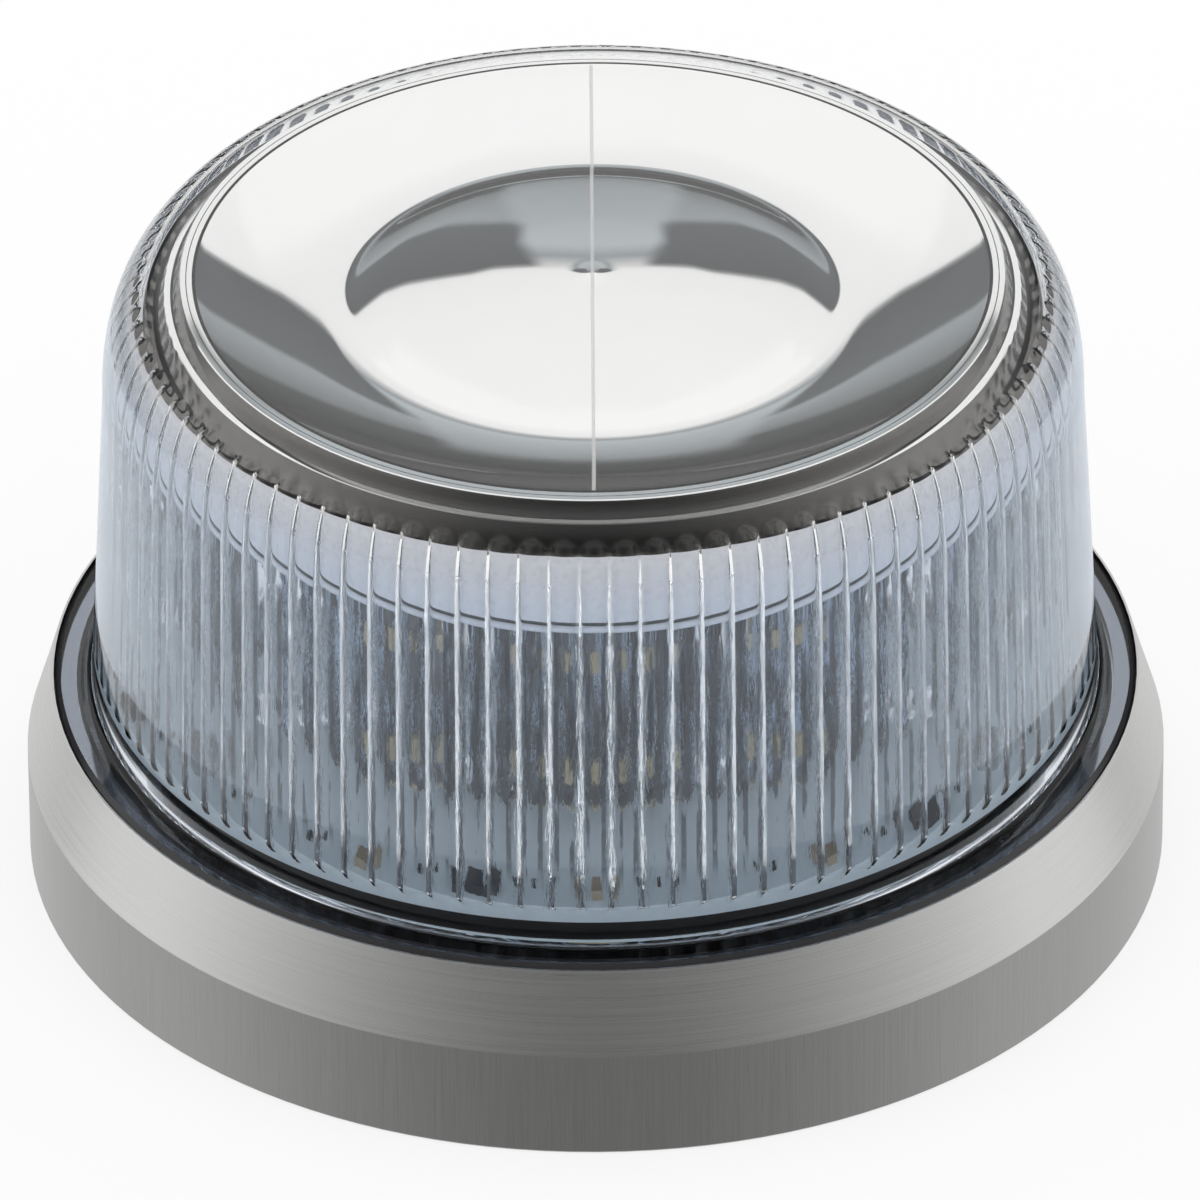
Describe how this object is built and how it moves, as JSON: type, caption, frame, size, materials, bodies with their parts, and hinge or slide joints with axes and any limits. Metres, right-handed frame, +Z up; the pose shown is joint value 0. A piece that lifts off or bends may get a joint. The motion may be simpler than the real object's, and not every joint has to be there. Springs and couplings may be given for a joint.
{
  "type": "strobe beacon",
  "caption": "Round strobe beacon: a clear fluted dome over a light column and a mirrored dish, on a turned aluminium base that bolts down from below.",
  "frame": {"origin": "centre of the flat underside of the base", "axes": "+Z up through the middle of the dome, along its axis; +Y towards the back"},
  "size_m": [0.16, 0.16, 0.094],
  "materials": {
    "aluminium": "satin, drawn band below and turned cone above",
    "rubber_black": "matt black",
    "rubber_grey": "matt dark grey",
    "plastic_black": "matt moulded",
    "clear_dome": "clear polycarbonate, smooth outside and fluted inside",
    "metalised": "moulded plastic with a bright metal coat",
    "screw_steel": "zinc plated",
    "column_metal": "dark satin",
    "board_pale": "pale blue-white solder mask",
    "diode": "yellow phosphor",
    "clear_bar": "clear acrylic",
    "ceramic_tan": "tan ceramic",
    "chip_black": "matt black",
    "board_green": "green solder mask",
    "capacitor_sleeve": "dark blue sleeve",
    "coil_copper": "enamelled copper",
    "plastic_green": "moulded",
    "plastic_ivory": "moulded",
    "plastic_red": "moulded",
    "plastic_white": "moulded"
  },
  "bodies": {
    "base": {"base_housing": "aluminium", "foot_seal": "rubber_black", "cable_grommet": "rubber_grey", "vent_plug": "plastic_black", "board_carrier": "plastic_black", "dome_seal": "rubber_black", "mirror_dish": "metalised", "dish_screws": "screw_steel", "light_column": "column_metal", "column_screws": "screw_steel", "light_strips": "board_pale", "light_diodes": "diode", "light_bars": "clear_bar", "upper_board": "board_pale", "board_screws": "screw_steel", "chip_capacitors": "ceramic_tan", "chip_resistors": "chip_black", "driver_chips": "chip_black", "lower_board": "board_green", "lower_board_screws": "screw_steel", "smoothing_capacitors": "capacitor_sleeve", "coil": "coil_copper", "terminal_block": "plastic_green", "terminal_screws": "screw_steel", "sounder": "plastic_black", "board_link": "plastic_ivory", "power_chips": "chip_black", "mode_switch": "plastic_red"},
    "dome": {"dome": "clear_dome"},
    "mode_slider_1": {"mode_slider_1": "plastic_white"},
    "mode_slider_2": {"mode_slider_2": "plastic_white"},
    "mode_slider_3": {"mode_slider_3": "plastic_white"},
    "mode_slider_4": {"mode_slider_4": "plastic_white"}
  },
  "joints": [
    {"name": "dome_twist", "type": "hinge", "parent": "base", "child": "dome", "pos_m": [0, 0, 0.026], "axis": [0, 0, 1], "range_deg": [0, 24]},
    {"name": "mode_slide_1", "type": "slide", "parent": "base", "child": "mode_slider_1", "axis": [0, 1, 0], "range_m": [0, 0.0016]},
    {"name": "mode_slide_2", "type": "slide", "parent": "base", "child": "mode_slider_2", "axis": [0, 1, 0], "range_m": [0, 0.0016]},
    {"name": "mode_slide_3", "type": "slide", "parent": "base", "child": "mode_slider_3", "axis": [0, 1, 0], "range_m": [0, 0.0016]},
    {"name": "mode_slide_4", "type": "slide", "parent": "base", "child": "mode_slider_4", "axis": [0, 1, 0], "range_m": [0, 0.0016]}
  ]
}
